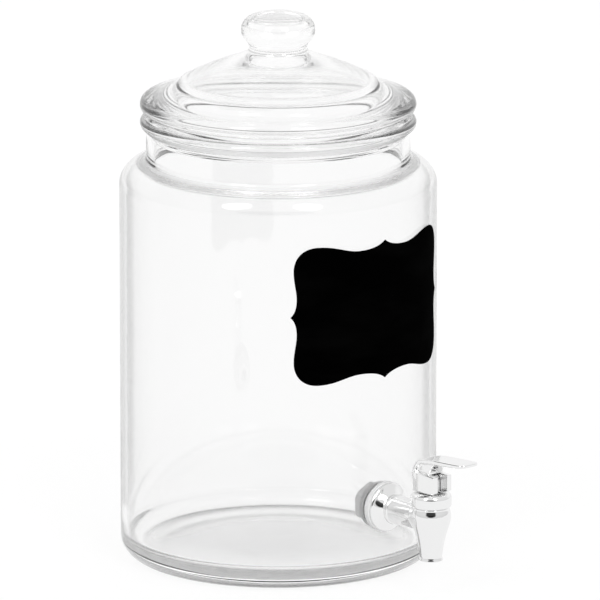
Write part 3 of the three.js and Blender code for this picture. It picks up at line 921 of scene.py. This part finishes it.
def camera():
    """A long lens to the left of the tap, looking down a little."""
    data = bpy.data.cameras.new("camera")
    data.lens = LENS
    data.sensor_width = SENSOR
    data.clip_start, data.clip_end = 0.1, 100
    obj = bpy.data.objects.new("camera", data)
    away = Vector((math.sin(VIEW_AZIMUTH), -math.cos(VIEW_AZIMUTH), 0))
    right = Vector((math.cos(VIEW_AZIMUTH), math.sin(VIEW_AZIMUTH), 0))
    foot = Vector((0, JAR_Y * MM, 0)) + right * AIM_RIGHT
    obj.location = foot + away * CAMERA_AWAY + Vector((0, 0, CAMERA_HEIGHT))
    aim = foot + Vector((0, 0, AIM_HEIGHT))
    obj.rotation_euler = (aim - obj.location).to_track_quat("-Z", "Y").to_euler()
    bpy.context.scene.collection.objects.link(obj)
    bpy.context.scene.camera = obj


# How bright the studio is by elevation, in degrees, as the glass and the chrome see it.
STUDIO_LEVELS = [(-10, 0.9), (0, 0.9), (3, 0.95), (8, 1.0), (15, 1.05), (50, 1.08), (90, 1.05)]
# Round patches of the studio: azimuth from the camera's, elevation, half width and half height in degrees,
# how soft the edge is, and how much brighter than the white walls (or darker, when negative).
STUDIO_PATCHES = [
    (-2, 14, 32, 12, 0.5, -0.98),                  # where the camera stands
    (-36, 42, 9, 17, 0.1, 6.0),
    (26, 42, 9, 17, 0.1, 6.0),
    (180, 20, 75, 40, 1.0, 0.22),                  # the lit wall behind the object
]
# How bright the floor is, in view and as the glass and the chrome see it.
FLOOR_SEEN, FLOOR_LEVEL = 0.9, 0.88
# Half the floor's side, and how far it lies under the jar, in metres.
FLOOR_HALF, FLOOR_GAP = 9.0, 0.0002


def studio_sky():
    """An even white studio, with a dark opening at the camera's place and a bright window on each side."""
    world = bpy.data.worlds.new("studio")
    bpy.context.scene.world = world
    world.use_nodes = True
    world.node_tree.nodes.clear()
    sky = Graph(world.node_tree)
    direction = sky.node("TexCoord").outputs["Generated"]
    least_depth = 0.05                             # keeps a patch to its own side of the sky

    def patch(azimuth, elevation, half_w, half_h, soft):
        """1 in the middle of an ellipse seen in that direction, falling to 0 at its edge."""
        a, e = VIEW_AZIMUTH + math.radians(azimuth), math.radians(elevation)
        ahead = Vector((math.sin(a) * math.cos(e), -math.cos(a) * math.cos(e), math.sin(e)))
        side = Vector((math.cos(a), math.sin(a), 0))
        depth = sky.along(direction, ahead)
        left = 1.0
        for vector, half in ((side, half_w), (side.cross(ahead), half_h)):
            flat = sky.maths("MAXIMUM", depth, least_depth)
            across = sky.maths("DIVIDE", sky.along(direction, vector), flat)
            share = sky.maths("DIVIDE", across, math.tan(math.radians(half)))
            left = sky.maths("SUBTRACT", left, sky.maths("MULTIPLY", share, share))
        mask = sky.maths("DIVIDE", left, soft, clamp=True)
        return sky.maths("MULTIPLY", mask, sky.maths("GREATER_THAN", depth, least_depth))

    height = sky.maths("ARCSINE", sky.along(direction, (0, 0, 1)))
    level = sky.ramp(sky.maths("MULTIPLY", height, math.degrees(1)), STUDIO_LEVELS)
    for *place, change in STUDIO_PATCHES:
        level = sky.maths("ADD", sky.maths("MULTIPLY", patch(*place), change), level)
    background = sky.node("Background")
    sky.link(sky.unless_direct(1.0, sky.maths("MAXIMUM", level, 0.0)), background.inputs["Strength"])
    sky.link(background.outputs[0], sky.node("OutputWorld").inputs[0])


def pale_floor():
    """Plain: white in view, and a little greyer in the glass and the chrome."""
    material = bpy.data.materials.new("pale_floor")
    material.use_nodes = True
    material.node_tree.nodes.clear()
    floor = Graph(material.node_tree)
    glow = floor.node("Emission")
    floor.link(floor.unless_direct(FLOOR_SEEN, FLOOR_LEVEL), glow.inputs["Strength"])
    matt = floor.node("BsdfDiffuse")
    matt.inputs["Color"].default_value = (0.1, 0.1, 0.1, 1)
    both = floor.node("AddShader")
    floor.link(matt.outputs[0], both.inputs[0])
    floor.link(glow.outputs[0], both.inputs[1])
    floor.link(both.outputs[0], floor.node("OutputMaterial").inputs["Surface"])
    return material


def studio_floor():
    mesh = bpy.data.meshes.new("floor")
    corners = [(x * FLOOR_HALF, y * FLOOR_HALF, 0) for x, y in ((-1, -1), (1, -1), (1, 1), (-1, 1))]
    mesh.from_pydata(corners, [], [(0, 1, 2, 3)])
    obj = bpy.data.objects.new("floor", mesh)
    obj.location = (0, 0, -FLOOR_GAP)
    mesh.materials.append(pale_floor())
    bpy.context.scene.collection.objects.link(obj)


def overhead_light():
    """A weak square lamp above the jar, which is not seen and not mirrored."""
    side, watts, distance = 1.8, 0.5, 2.4
    azimuth, elevation = VIEW_AZIMUTH + 0.3, math.radians(78)
    data = bpy.data.lights.new("overhead", "AREA")
    data.size = side
    data.energy = watts
    obj = bpy.data.objects.new("overhead", data)
    flat = math.cos(elevation)
    way = Vector((math.sin(azimuth) * flat, -math.cos(azimuth) * flat, math.sin(elevation)))
    obj.location = way * distance
    obj.rotation_euler = way.to_track_quat("Z", "Y").to_euler()
    obj.visible_camera = obj.visible_glossy = obj.visible_transmission = False
    bpy.context.scene.collection.objects.link(obj)


def render_settings():
    scene = bpy.context.scene
    scene.view_settings.view_transform = "Standard"
    scene.cycles.max_bounces = 20
    scene.cycles.transmission_bounces = 20
    scene.cycles.glossy_bounces = 8
    scene.cycles.sample_clamp_indirect = 4


# ---- putting it together --------------------------------------------------------------------------------


def finish_piece(obj, material, body, node):
    obj.data.materials.append(material)
    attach(obj, body)
    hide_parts(node)
    return obj


camera()
studio_sky()
studio_floor()
overhead_light()
render_settings()

# The glass's faint tint face on, and painted shade darkening it towards edge on; then how much of that turn
# counts at each height, in metres, with a painted contact shade at the jar's foot.
JAR_TINT_AND_EDGE_SHADE = [(0, 0.985), (0.42, 0.97), (0.56, 0.93), (0.68, 0.82), (0.78, 0.42), (1, 0.25)]
JAR_EDGE_SHADE_SHARE = [(0, 1.9), (0.0032, 1.9), (0.005, 0.1), (0.012, 0.1), (0.04, 1), (0.25, 1), (0.27, 0.4)]
LID_TINT_AND_EDGE_SHADE = [(0, 1), (0.8, 1), (1, 0.97)]
LID_EDGE_SHADE_SHARE = [(0, 1), (0.4, 1)]
# The least and the most haze, as roughness.
JAR_HAZE, LID_HAZE = (0.0, 0.022), (0.05, 0.11)
jar_material = clear_glass("jar_glass", JAR_TINT_AND_EDGE_SHADE, JAR_EDGE_SHADE_SHARE, *JAR_HAZE)
lid_material = clear_glass("lid_glass", LID_TINT_AND_EDGE_SHADE, LID_EDGE_SHADE_SHARE, *LID_HAZE)
soft_clear, milky, seal = clear_silicone(), milky_silicone(), seal_silicone()
metal, steel = chrome(), drawn_steel()

jar = finish_piece(jar_glass(), jar_material, "vessel", "jar")
jar.data.materials.append(ground_glass())
film = finish_piece(label_film(), chalkboard(), "vessel", "chalkboard_label")
film.data.materials.append(film_backing())
finish_piece(lid_glass(), lid_material, "lid", "lid")
finish_piece(gasket_ring(), soft_clear, "lid", "lid_gasket")

finish_piece(tap_casting(), metal, "vessel", "tap_body")
finish_piece(bonnet_cap(), metal, "vessel", "tap_bonnet")
finish_piece(lever_handle(), metal, "lever", "lever")
outer = washer("outer_washer_soft", radius=16.5, near=98, far=106.05, wall=BODY_R + 0.05, outside=True)
inner = washer("inner_washer_soft", radius=15, near=94, far=102, wall=BODY_R - WALL - 0.05, outside=False)
finish_piece(outer, milky, "vessel", "outer_washer")
finish_piece(inner, milky, "vessel", "inner_washer")
finish_piece(hex_nut(), nut_plastic(), "vessel", "lock_nut")
finish_piece(o_ring("bonnet_seal_ring", 10.75, SEAM_Z + 0.62, 0.6), seal,
             "vessel", "bonnet_seal")

finish_piece(stem_bar(), steel, "stem", "valve_stem")
finish_piece(seat_plug(), seal, "stem", "seat_cup")
finish_piece(o_ring("stem_seal_ring", 2.3, 65.4, 0.45), seal, "stem", "stem_o_ring")
finish_piece(pin_rod(), steel, "stem", "pivot_pin")
coil = finish_piece(spring_coil(), steel, "vessel", "return_spring")
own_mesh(coil)
